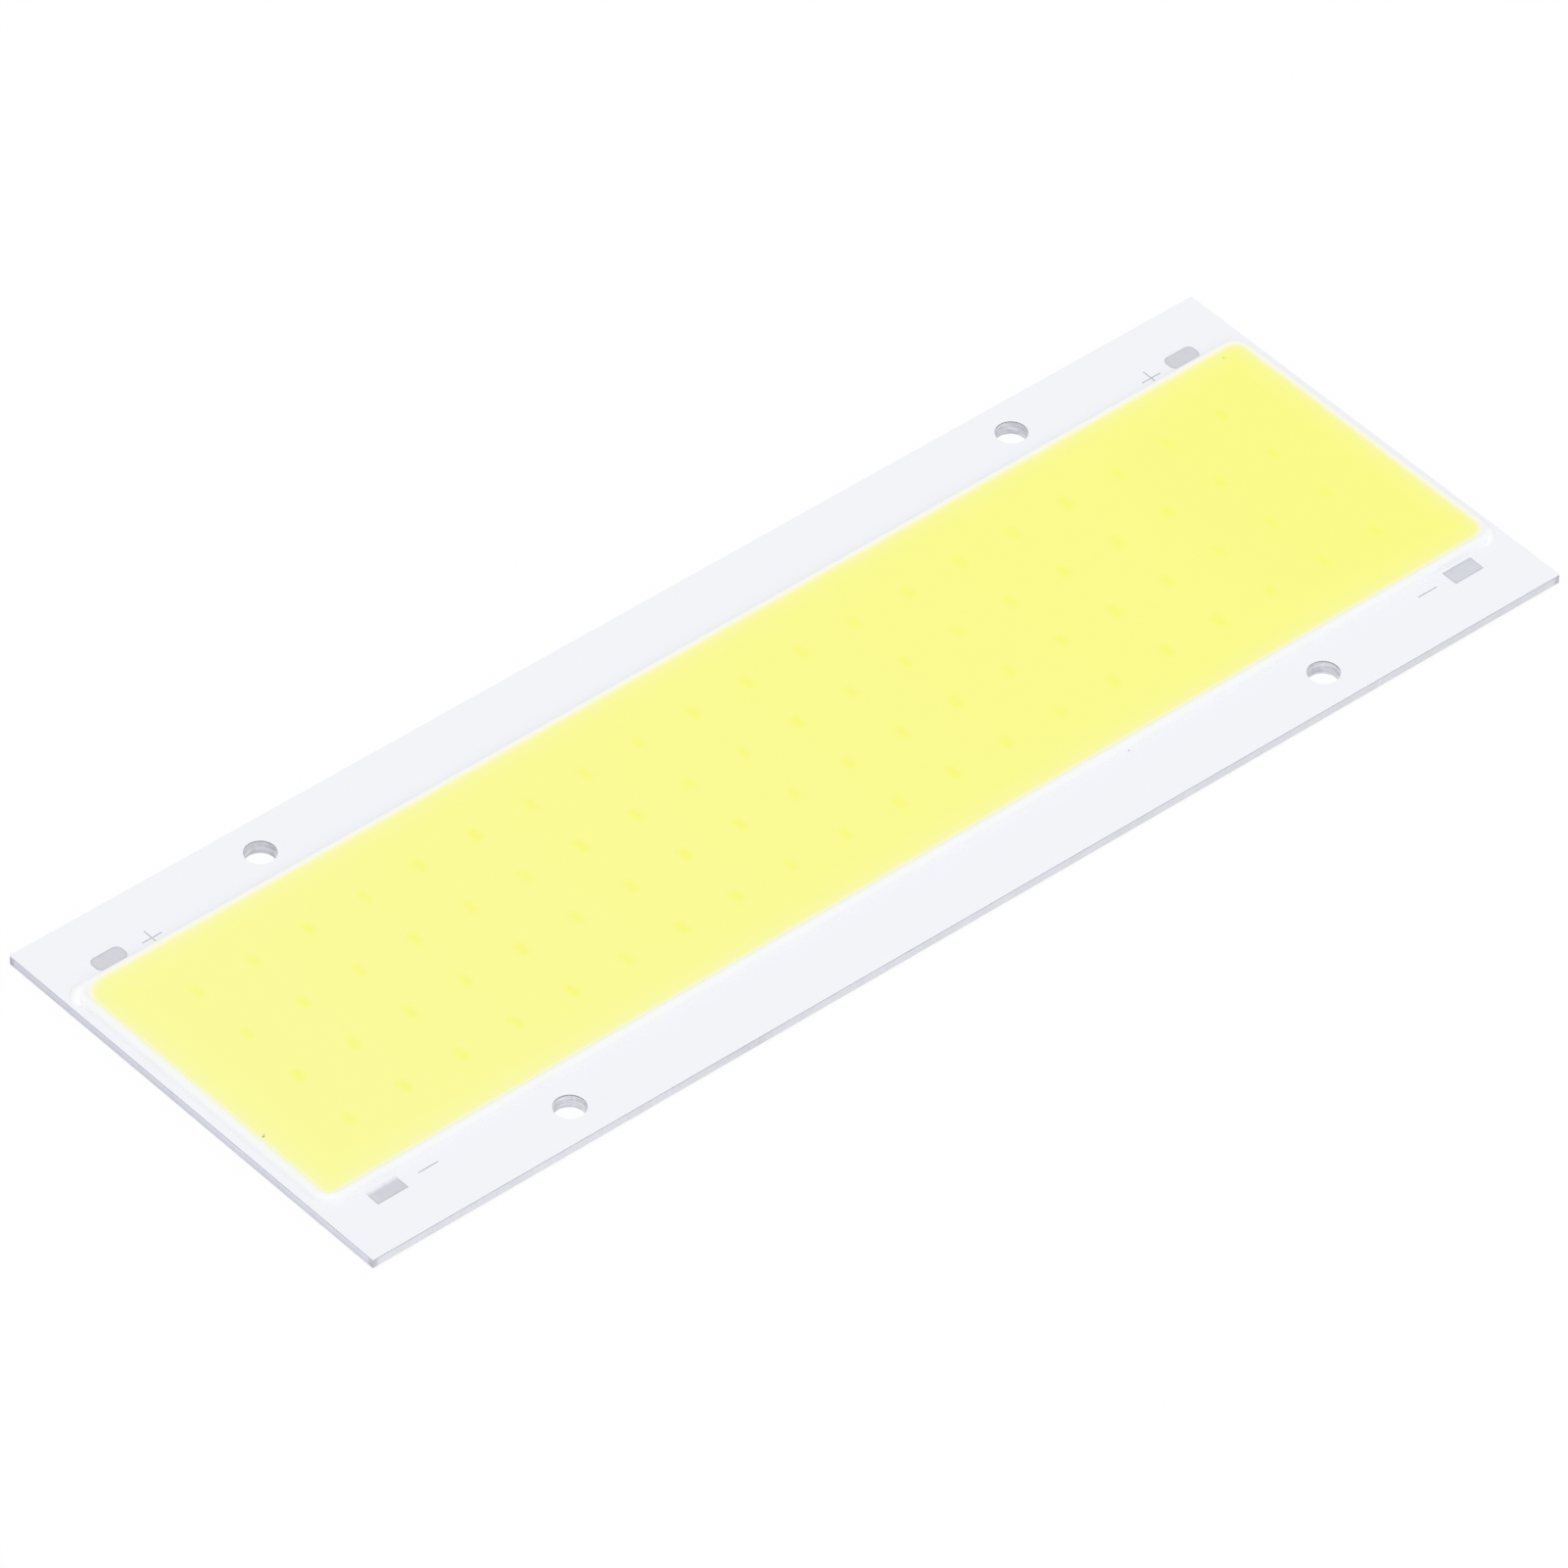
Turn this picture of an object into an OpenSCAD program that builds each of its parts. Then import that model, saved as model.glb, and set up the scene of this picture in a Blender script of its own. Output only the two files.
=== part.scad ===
// Chip-on-board LED panel: an aluminium-cored board with a white solder mask, rows of
// flip-chip dies wired in series from a positive to a negative copper rail, and a
// phosphor-loaded silicone fill that a dispensed silicone bead holds in place.
// Frame: X runs along the board, Y across it, from the negative to the positive pads,
// and Z points out of the lit face. The origin is the middle of the bare back face.

/* [Board] */
// Length of the board
board_l = 140; // [130:1:160]
// Width of the board
board_w = 50; // [48:1:60]
// Thickness of the aluminium base
base_t = 1.3; // [0.8:0.1:3]
// Height of the groove side that is left along the base's lower edges, where the board was
// scored and snapped from its panel
score_h = 0.45; // [0.2:0.05:0.5]
// How far that groove side leans in
score_w = 0.12; // [0.04:0.02:0.2]
// Thickness of the insulating dielectric layer
dielectric_t = 0.1; // [0.06:0.02:0.2]

/* [Mounting holes] */
// Diameter of each mounting hole, a clearance for an M3 screw
hole_d = 3.1; // [2.2:0.1:4.5]
// From the board's end to a hole's centre
hole_end_inset = 25.5; // [14:0.5:50]
// From the board's long side to a hole's centre
hole_side_inset = 3.75; // [3:0.05:4.5]

/* [Copper and mask] */
// Thickness of the etched copper
copper_t = 0.07; // [0.035:0.035:0.14]
// From the board's end to the ends of the copper strips
copper_end_gap = 1.5; // [1:0.1:6]
// Etched gap between two strips, under the middle of a row of dies
strip_gap = 0.3; // [0.15:0.05:0.4]
// Copper around each solder pad, under the mask
pad_margin = 0.35; // [0.1:0.05:0.8]
// Thickness of the mask where it covers the copper
mask_cover_t = 0.03; // [0.02:0.005:0.06]

/* [Solder pads] */
// Length of a pad, along the board
pad_l = 3.4; // [2:0.1:5]
// Width of a pad, across the board
pad_w = 1.8; // [1.6:0.1:3.5]
// Corner radius of the two positive pads, which tells them from the square negative ones
pad_corner_r = 0.65; // [0.2:0.05:0.75]
// From the board's end to the near end of a pad
pad_end_gap = 4.76; // [3:0.01:8]
// Between the dam's side and a pad
pad_dam_gap = 0.38; // [0.2:0.02:1]
// How far the tin on a pad stands above the mask
tin_proud = 0.04; // [0.01:0.01:0.08]

/* [Dam and fill] */
// Width of the silicone bead
dam_w = 1.05; // [0.9:0.05:1.5]
// How far the bead's foot spreads beyond that width on each side
dam_foot = 0.05; // [0.01:0.01:0.1]
// Height of the bead's crest above the mask
dam_h = 0.85; // [0.8:0.05:0.9]
// Radius of the bead's centre line at the four corners
dam_corner_r = 1.45; // [1:0.05:5]
// Between the bead's side and the board's end
dam_end_gap = 0.8; // [0.3:0.01:3]
// Between the bead's side and the board's long side
dam_side_gap = 7.18; // [6.6:0.02:9]
// How far the fill's surface lies below the bead's crest
fill_drop = 0.05; // [0.02:0.01:0.15]

/* [LED dies] */
// Dies along the board
die_columns = 20; // [2:1:24]
// Dies in series across the board
die_rows = 4; // [2:1:6]
// Size of a die along the board
die_w = 0.75; // [0.5:0.05:1.2]
// Size of a die across the board
die_l = 1.4; // [1:0.05:2]
// Height of a die
die_t = 0.2; // [0.1:0.05:0.4]
// From the dam's inner side to the middle of the end columns
die_end_gap = 7.54; // [2:0.02:12]
// From the dam's inner side to the middle of the outer rows
die_side_gap = 6.36; // [2:0.02:10]
// From a die's sides to its solder joints
joint_inset = 0.06; // [0.02:0.01:0.12]
// From the etched gap to a solder joint
joint_gap = 0.05; // [0.02:0.01:0.1]

/* [Hidden] */
round_fn = 64;
spill = 1;

// Heights of the layers
dielectric_z = base_t;
copper_z = dielectric_z + dielectric_t;
copper_top_z = copper_z + copper_t;
mask_z = copper_top_z + mask_cover_t;
fill_h = dam_h - fill_drop;

// Centre line of the dam, and its inner sides
dam_x = board_l / 2 - dam_end_gap - dam_w / 2;
dam_y = board_w / 2 - dam_side_gap - dam_w / 2;
dam_inner_x = dam_x - dam_w / 2;
dam_inner_y = dam_y - dam_w / 2;

// Centres of the mounting holes and of the solder pads
hole_x = board_l / 2 - hole_end_inset;
hole_y = board_w / 2 - hole_side_inset;
pad_x = board_l / 2 - pad_end_gap - pad_l / 2;
pad_y = dam_y + dam_w / 2 + pad_dam_gap + pad_w / 2;

// Field of dies
field_x = dam_inner_x - die_end_gap;
field_y = dam_inner_y - die_side_gap;
pitch_x = 2 * field_x / (die_columns - 1);
pitch_y = 2 * field_y / (die_rows - 1);

// A solder joint joins one end of a die to the copper beside the etched gap
joint_start = strip_gap / 2 + joint_gap;
joint_w = die_w - 2 * joint_inset;
joint_l = die_l / 2 - joint_inset - joint_start;

function column_x(i) = -field_x + (i - 1) * pitch_x;
function row_y(j) = -field_y + (j - 1) * pitch_y;
function two_digits(i) = str(i < 10 ? "0" : "", i);
function link_name(j) = str("copper_link_", j);
function string_name(i) = str("led_string_", two_digits(i));
function solder_name(i) = str("die_solder_", two_digits(i));

// ---- Outlines -------------------------------------------------------------------

// A rectangle about the origin with its four corners rounded
module rounded_outline(l, w, r) {
    union() {
        square([l - 2 * r, w], center = true);
        square([l, w - 2 * r], center = true);
        for (x = [-1, 1], y = [-1, 1])
            translate([x * (l / 2 - r), y * (w / 2 - r)])
                circle(r = r, $fn = round_fn);
    }
}

// The board as seen from above, without its holes
module board_outline() {
    square([board_l, board_w], center = true);
}

// A flat layer of the board, with the mounting holes bored through it
module board_layer(z, t) {
    difference() {
        translate([0, 0, z])
            linear_extrude(t) board_outline();
        for (x = [-hole_x, hole_x], y = [-hole_y, hole_y])
            translate([x, y, z - spill])
                cylinder(d = hole_d, h = t + 2 * spill, $fn = round_fn);
    }
}

// ---- Base -----------------------------------------------------------------------

// Section of what the scoring cutter takes off a lower edge; its right side is the outer one
module score_section() {
    polygon([[0, score_h], [-score_w, 0], [-score_w, -spill], [spill, -spill], [spill, score_h]]);
}

// The groove side along one edge of length l, at distance d from the middle
module score_side(l, d) {
    translate([d, l / 2 + spill, 0])
        rotate([90, 0, 0])
            linear_extrude(l + 2 * spill) score_section();
}

// The groove sides along all four edges
module scored_edges() {
    for (a = [0, 180])
        rotate(a) {
            score_side(board_w, board_l / 2);
            rotate(90) score_side(board_l, board_w / 2);
        }
}

// Aluminium base: spreads the heat, carries every other layer and the screws
module base_plate() {
    color("silver")
        difference() {
            board_layer(0, base_t);
            scored_edges();
        }
}

// Glass-filled resin that insulates the copper from the base
module dielectric_layer() {
    color("darkgray")
        board_layer(dielectric_z, dielectric_t);
}

// ---- Copper ---------------------------------------------------------------------

// A strip of copper between two heights across the board
module strip_outline(y_low, y_high) {
    translate([-board_l / 2 + copper_end_gap, y_low])
        square([board_l - 2 * copper_end_gap, y_high - y_low]);
}

// Outline of a rail on the positive side: its strip and the tabs under both pads
module rail_outline() {
    strip_outline(row_y(die_rows) + strip_gap / 2, dam_y);
    for (x = [-pad_x, pad_x])
        translate([x - pad_l / 2 - pad_margin, dam_y - spill])
            square([pad_l + 2 * pad_margin, pad_y + pad_w / 2 + pad_margin - dam_y + spill]);
}

module copper_sheet() {
    translate([0, 0, copper_z])
        linear_extrude(copper_t) children();
}

// Feeds the first die of every string
module copper_positive_rail() {
    color("#b87333")
        copper_sheet() rail_outline();
}

// Takes the current back from the last die of every string
module copper_negative_rail() {
    color("#b87333")
        copper_sheet() mirror([0, 1]) rail_outline();
}

// Joins the dies of row j to those of the next row
module copper_link(j) {
    color("#b87333")
        copper_sheet()
            strip_outline(row_y(j) + strip_gap / 2, row_y(j + 1) - strip_gap / 2);
}

// ---- Pads and solder joints -----------------------------------------------------

// Outline of a negative pad, square cornered
module square_pad_outline() {
    square([pad_l, pad_w], center = true);
}

// Outline of a positive pad, round cornered
module round_pad_outline() {
    rounded_outline(pad_l, pad_w, pad_corner_r);
}

// Outlines of the two joints under the die in column i and row j
module joint_outlines(i, j) {
    for (side = [-1, 1])
        translate([column_x(i), row_y(j) + side * (joint_start + joint_l / 2)])
            square([joint_w, joint_l], center = true);
}

// The tin that fills a pad's opening; its child is the pad's outline
module tin_on_pad(x, y) {
    color("gainsboro")
        translate([x, y, copper_top_z])
            linear_extrude(mask_cover_t + tin_proud) children();
}

module positive_pad_left() {
    tin_on_pad(-pad_x, pad_y) round_pad_outline();
}

module positive_pad_right() {
    tin_on_pad(pad_x, pad_y) round_pad_outline();
}

module negative_pad_left() {
    tin_on_pad(-pad_x, -pad_y) square_pad_outline();
}

module negative_pad_right() {
    tin_on_pad(pad_x, -pad_y) square_pad_outline();
}

// The solder under every die of column i
module die_solder(i) {
    color("gray")
        translate([0, 0, copper_top_z])
            linear_extrude(mask_cover_t)
                for (j = [1:die_rows])
                    joint_outlines(i, j);
}

// ---- Mask -----------------------------------------------------------------------

// Openings in the mask: one for each pad and one for each solder joint
module mask_openings() {
    for (x = [-pad_x, pad_x]) {
        translate([x, pad_y]) round_pad_outline();
        translate([x, -pad_y]) square_pad_outline();
    }
    for (i = [1:die_columns], j = [1:die_rows])
        joint_outlines(i, j);
}

// White ink: fills the etched gaps, covers the copper, and leaves pads and joints open
module solder_mask() {
    color("white")
        difference() {
            board_layer(copper_z, copper_t + mask_cover_t);
            copper_positive_rail();
            copper_negative_rail();
            for (j = [1:die_rows - 1])
                copper_link(j);
            translate([0, 0, copper_top_z])
                linear_extrude(mask_cover_t + spill) mask_openings();
        }
}

// ---- Dies -----------------------------------------------------------------------

// The dies of column i, wired in series across the board
module led_string(i) {
    color("lightskyblue")
        for (j = [1:die_rows])
            translate([column_x(i) - die_w / 2, row_y(j) - die_l / 2, mask_z])
                cube([die_w, die_l, die_t]);
}

// ---- Dam and fill ---------------------------------------------------------------

// Section of the bead: a half round on a foot that widens down to the mask
module bead_section() {
    r = dam_w / 2;
    foot_h = dam_h - r;
    union() {
        intersection() {
            translate([0, foot_h]) circle(r = r, $fn = round_fn);
            translate([-r, foot_h]) square([2 * r, r]);
        }
        polygon([[-r - dam_foot, 0], [r + dam_foot, 0], [r, foot_h], [-r, foot_h]]);
    }
}

// One straight run of the bead, of length l, at distance d along X
module bead_side(l, d) {
    translate([d, l / 2, 0])
        rotate([90, 0, 0])
            linear_extrude(l) bead_section();
}

// One corner of the bead, from +X round to +Y
module bead_corner() {
    rotate_extrude(angle = 90, $fn = round_fn)
        translate([dam_corner_r, 0]) bead_section();
}

// White silicone bead round the field
module silicone_dam() {
    side_x = dam_x - dam_corner_r;
    side_y = dam_y - dam_corner_r;
    color("whitesmoke")
        translate([0, 0, mask_z])
            for (a = [0, 180])
                rotate(a) {
                    bead_side(2 * side_y, dam_x);
                    rotate(90) bead_side(2 * side_x, dam_y);
                    translate([side_x, side_y]) bead_corner();
                    translate([-side_x, side_y]) rotate(90) bead_corner();
                }
}

// Phosphor-loaded silicone: poured up to the dam and set around every die
module phosphor_fill() {
    color("#fafa96")
        difference() {
            translate([0, 0, mask_z])
                linear_extrude(fill_h) rounded_outline(2 * dam_x, 2 * dam_y, dam_corner_r);
            silicone_dam();
            for (i = [1:die_columns])
                led_string(i);
        }
}

// ---- Nodes ----------------------------------------------------------------------

base_plate();
dielectric_layer();
copper_positive_rail();
copper_negative_rail();
for (j = [1:die_rows - 1])
    copper_link(j);
solder_mask();
positive_pad_left();
positive_pad_right();
negative_pad_left();
negative_pad_right();
for (i = [1:die_columns])
    die_solder(i);
for (i = [1:die_columns])
    led_string(i);
silicone_dam();
phosphor_fill();
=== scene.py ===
"""Looks of the chip-on-board LED panel: finishes, printed signs, specks of dirt, studio, camera.

Everything is in metres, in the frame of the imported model: X runs along the board, Y across it
towards the positive pads, Z out of the lit face, and the origin is the middle of the back face.
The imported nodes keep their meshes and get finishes. The printed signs, the specks of dirt and two
swellings of the dam are new pieces, because they are too slight to be parts of the construction.
"""

import logging
import math
from dataclasses import dataclass, field, replace
from enum import Enum

import bmesh
import bpy
import numpy as np
from mathutils import Matrix, Vector


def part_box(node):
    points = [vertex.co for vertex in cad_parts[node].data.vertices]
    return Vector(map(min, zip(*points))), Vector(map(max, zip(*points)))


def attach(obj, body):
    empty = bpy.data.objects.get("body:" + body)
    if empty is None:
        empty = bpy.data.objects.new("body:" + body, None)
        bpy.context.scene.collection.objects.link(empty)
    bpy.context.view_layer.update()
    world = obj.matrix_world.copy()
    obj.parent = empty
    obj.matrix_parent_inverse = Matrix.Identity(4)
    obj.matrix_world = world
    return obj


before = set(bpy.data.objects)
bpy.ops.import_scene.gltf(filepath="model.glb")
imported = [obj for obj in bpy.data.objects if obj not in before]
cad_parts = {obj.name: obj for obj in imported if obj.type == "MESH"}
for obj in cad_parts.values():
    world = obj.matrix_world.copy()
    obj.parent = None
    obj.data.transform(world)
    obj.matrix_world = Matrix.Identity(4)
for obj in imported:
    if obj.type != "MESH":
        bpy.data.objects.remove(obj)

LOG = logging.getLogger("led_panel")

MM = 0.001
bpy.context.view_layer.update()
WHITE = (1.0, 1.0, 1.0)
SILICONE_IOR = 1.41

Colour = tuple[float, float, float]


# ---- Layout -------------------------------------------------------------------------------


@dataclass(frozen=True)
class Rectangle:
    """A rectangle about a centre, seen from above, in metres."""

    half_length: float
    half_width: float
    centre_x: float = 0.0
    centre_y: float = 0.0

    @classmethod
    def of_node(cls, node: str) -> "Rectangle":
        """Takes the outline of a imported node.

        Args:
            node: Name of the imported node.

        Returns:
            The rectangle that the node fills, seen from above.
        """
        low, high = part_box(node)
        half = (high - low) / 2
        centre = (high + low) / 2
        return cls(half.x, half.y, centre.x, centre.y)

    def grown(self, past_ends: float, past_sides: float) -> "Rectangle":
        """Returns this rectangle with its ends and its long sides moved out, its centre kept."""
        length, width = self.half_length + past_ends, self.half_width + past_sides
        return replace(self, half_length=length, half_width=width)


@dataclass(frozen=True)
class DieGrid:
    """The regular grid that the dies stand on.

    Attributes:
        pitch_x: Distance between columns.
        pitch_y: Distance between rows.
        end_x: Centre of the outermost column.
        end_y: Centre of the outermost row.
        half_w: Half a die's size along the board.
        half_l: Half a die's size across the board.
    """

    pitch_x: float
    pitch_y: float
    end_x: float
    end_y: float
    half_w: float
    half_l: float

    @classmethod
    def measured(cls) -> "DieGrid":
        """Reads the grid from the first two strings of dies.

        Returns:
            The grid.
        """
        strings = (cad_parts["led_string_01"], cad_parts["led_string_02"])
        points = [np.array([v.co for v in node.data.vertices]) for node in strings]
        sides_x = np.unique(points[0][:, 0].round(6))
        sides_y = np.unique(points[0][:, 1].round(6)).reshape(-1, 2)
        rows = sides_y.mean(axis=1)
        columns = [p[:, 0].mean() for p in points]
        return cls(
            pitch_x=float(columns[1] - columns[0]),
            pitch_y=float(rows[1] - rows[0]),
            end_x=float(-columns[0]),
            end_y=float(rows[-1]),
            half_w=float(np.ptp(sides_x) / 2),
            half_l=float(np.ptp(sides_y[0]) / 2),
        )


# ---- Shader sketches ----------------------------------------------------------------------


@dataclass(frozen=True, eq=False)
class Field:
    """A value that changes from place to place: a shader socket that takes plain arithmetic.

    A comparison gives 1 where it holds and 0 elsewhere.
    """

    sketch: "Sketch"
    socket: bpy.types.NodeSocket

    def __add__(self, other: "Value") -> "Field":
        """Returns the sum."""
        return self.sketch.math("ADD", self, other)

    def __sub__(self, other: "Value") -> "Field":
        """Returns this less other."""
        return self.sketch.math("SUBTRACT", self, other)

    def __rsub__(self, other: "Value") -> "Field":
        """Returns other less this."""
        return self.sketch.math("SUBTRACT", other, self)

    def __mul__(self, other: "Value") -> "Field":
        """Returns the product."""
        return self.sketch.math("MULTIPLY", self, other)

    def __truediv__(self, other: "Value") -> "Field":
        """Returns this divided by other."""
        return self.sketch.math("DIVIDE", self, other)

    def __rtruediv__(self, other: "Value") -> "Field":
        """Returns other divided by this."""
        return self.sketch.math("DIVIDE", other, self)

    def __abs__(self) -> "Field":
        """Returns this without its sign."""
        return self.sketch.math("ABSOLUTE", self)

    def __lt__(self, other: "Value") -> "Field":
        """Returns 1 where this is the smaller."""
        return self.sketch.math("LESS_THAN", self, other)

    def __gt__(self, other: "Value") -> "Field":
        """Returns 1 where this is the larger."""
        return self.sketch.math("GREATER_THAN", self, other)

    def ramp(self, low: float, high: float, start: float = 0.0, end: float = 1.0) -> "Field":
        """Turns smoothly from one number to another.

        Args:
            low: Where the turn begins.
            high: Where the turn ends.
            start: The result up to low.
            end: The result from high on.

        Returns:
            The result.
        """
        feeds = dict(enumerate((self, low, high, start, end)))
        node = self.sketch.add("ShaderNodeMapRange", feeds, interpolation_type="SMOOTHSTEP")
        return Field(self.sketch, node.outputs[0])

    def steep(self, upright: float = 0.4, level: float = 0.8) -> "Field":
        """Returns 1 on upright walls and 0 on level faces, where this is how far the face looks up.

        Args:
            upright: Up to what the face still counts as a wall.
            level: From what on it is no wall.
        """
        return abs(self).ramp(upright, level, 1.0, 0.0)

    def blend(self, first: "Value", second: "Value") -> "Field":
        """Returns a mix of two colours; this is the second one's share."""
        return self.sketch.mix("MIX", self, first, second)


Value = float | Colour | bpy.types.NodeSocket | Field


class SharedEffect(Enum):
    """Node groups that more than one finish uses: name, inputs besides Vector, outputs."""

    OUTLINE = ("outline_distance", ("Half Length", "Half Width", "Corner"), ("Distance",))
    DRILLED = ("drilled_wall", ("Facing", "Half Length", "Half Width"), ("Mask",))
    MOTTLE = ("mottle", ("Size", "Amount"), ("Gain", "Cloud"))
    STREAKS = ("streaks", ("Squeeze", "Amount"), ("Gain", "Line"))
    DUST = ("dust", ("Spacing", "Radius"), ("Mask",))


class Sketch:
    """A shader node tree that is being drawn, with short calls for the nodes used most.

    Attributes:
        tree: The tree of a material, of the world or of a node group.
        groups: The shared effects that it may place.
        point: The point being shaded, in metres in the panel's frame.
    """

    def __init__(self, tree: bpy.types.NodeTree, groups: dict | None = None) -> None:
        """Starts on a tree.

        Args:
            tree: The tree to draw in.
            groups: The shared effects that it may place.
        """
        self.tree = tree
        self.groups = groups or {}
        self.point: Value = (0.0, 0.0, 0.0)

    @classmethod
    def of_owner(cls, owner: bpy.types.Material | bpy.types.World, groups: dict | None = None) -> "Sketch":
        """Starts on the emptied tree of a material or a world.

        Args:
            owner: The material or the world.
            groups: The shared effects that it may place.

        Returns:
            The sketch.
        """
        owner.use_nodes = True
        owner.node_tree.nodes.clear()
        return cls(owner.node_tree, groups)

    def add(
        self, kind: str, feeds: dict[str | int, Value] | None = None, **settings: object
    ) -> bpy.types.Node:
        """Adds a node.

        Args:
            kind: The node's type, such as ShaderNodeMath.
            feeds: What its inputs take, by their names or numbers.
            settings: Properties of the node, such as operation.

        Returns:
            The new node.
        """
        node = self.tree.nodes.new(kind)
        for name, value in settings.items():
            setattr(node, name, value)
        for name, value in (feeds or {}).items():
            self.feed(node.inputs[name], value)
        return node

    def feed(self, socket: bpy.types.NodeSocket, value: Value) -> None:
        """Links a socket to another, or sets its own value.

        Args:
            socket: The input to feed.
            value: A field, an output socket, a number, a vector or a colour.
        """
        if isinstance(value, Field):
            value = value.socket
        if isinstance(value, bpy.types.NodeSocket):
            self.tree.links.new(value, socket)
        elif socket.type == "RGBA" and len(value) == 3:
            socket.default_value = (*value, 1.0)
        else:
            socket.default_value = value

    def math(self, operation: str, *values: Value) -> Field:
        """Returns what a Math node makes of some values."""
        node = self.add("ShaderNodeMath", dict(enumerate(values)), operation=operation)
        return Field(self, node.outputs[0])

    def mix(self, way: str, share: Value, first: Value, second: Value) -> Field:
        """Mixes two colours.

        Args:
            way: The Mix node's blend type.
            share: Share of the second colour.
            first: The first colour.
            second: The second colour.

        Returns:
            The mixed colour.
        """
        feeds = {0: share, 6: first, 7: second}
        node = self.add("ShaderNodeMix", feeds, data_type="RGBA", blend_type=way)
        return Field(self, node.outputs[2])

    def scaled(self, colour: Value, *gains: Value) -> Field:
        """Multiplies a colour by one or more gains.

        Args:
            colour: The colour.
            gains: Values or tints about 1.

        Returns:
            The scaled colour.
        """
        for gain in gains:
            colour = self.mix("MULTIPLY", 1.0, colour, gain)
        return colour

    def seen_from(self, output: str) -> Field:
        """Returns an output of the Texture Coordinate node."""
        return Field(self, self.add("ShaderNodeTexCoord").outputs[output])

    def parts(self, vector: Value | None = None) -> list[Field]:
        """Returns the X, Y and Z of a vector, or of the point being shaded."""
        node = self.add("ShaderNodeSeparateXYZ", {0: vector or self.point})
        return [Field(self, socket) for socket in node.outputs]

    def vector(self, x: Value, y: Value) -> Field:
        """Returns a level vector."""
        return Field(self, self.add("ShaderNodeCombineXYZ", {0: x, 1: y, 2: 0.0}).outputs[0])

    def noise(self, scale: Value, detail: float = 2.0, vector: Value | None = None) -> Field:
        """Returns smooth noise from 0 to 1.

        Args:
            scale: Features in a metre.
            detail: Finer octaves added.
            vector: Where the noise is read, if not at the point being shaded.
        """
        feeds = {"Vector": vector or self.point, "Scale": scale, "Detail": detail}
        return Field(self, self.add("ShaderNodeTexNoise", feeds).outputs["Fac"])

    def effect(self, effect: SharedEffect, **values: Value) -> list[Field]:
        """Places a shared effect, at the point being shaded unless Vector is given.

        Args:
            effect: Which one.
            values: Its inputs, with each name's spaces written as underscores.

        Returns:
            Its outputs, in their order.
        """
        feeds = {name.replace("_", " "): value for name, value in values.items()}
        feeds.setdefault("Vector", self.point)
        node = self.add("ShaderNodeGroup", node_tree=self.groups[effect])
        for name, value in feeds.items():
            self.feed(node.inputs[name], value)
        return [Field(self, socket) for socket in node.outputs]

    def in_holes(self, board: Rectangle) -> Field:
        """Returns 1 on the walls of the holes in a board of that outline, and 0 elsewhere."""
        sizes = {"Half_Length": board.half_length, "Half_Width": board.half_width}
        return self.effect(SharedEffect.DRILLED, Facing=self.seen_from("Normal"), **sizes)[0]

    def rim(self, shape: Rectangle, x: Field, y: Field, corner: Value) -> Field:
        """Measures the distance to a rectangle's rim.

        Args:
            shape: The rectangle.
            x: The point's place along the board.
            y: Its place across the board.
            corner: The rectangle's corner radius, which may change from place to place.

        Returns:
            The distance, negative inside the rectangle.
        """
        beside = self.vector(x - shape.centre_x, y - shape.centre_y)
        sizes = {"Half_Length": shape.half_length, "Half_Width": shape.half_width}
        return self.effect(SharedEffect.OUTLINE, Vector=beside, Corner=corner, **sizes)[0]


# ---- Shared effects -----------------------------------------------------------------------


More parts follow.
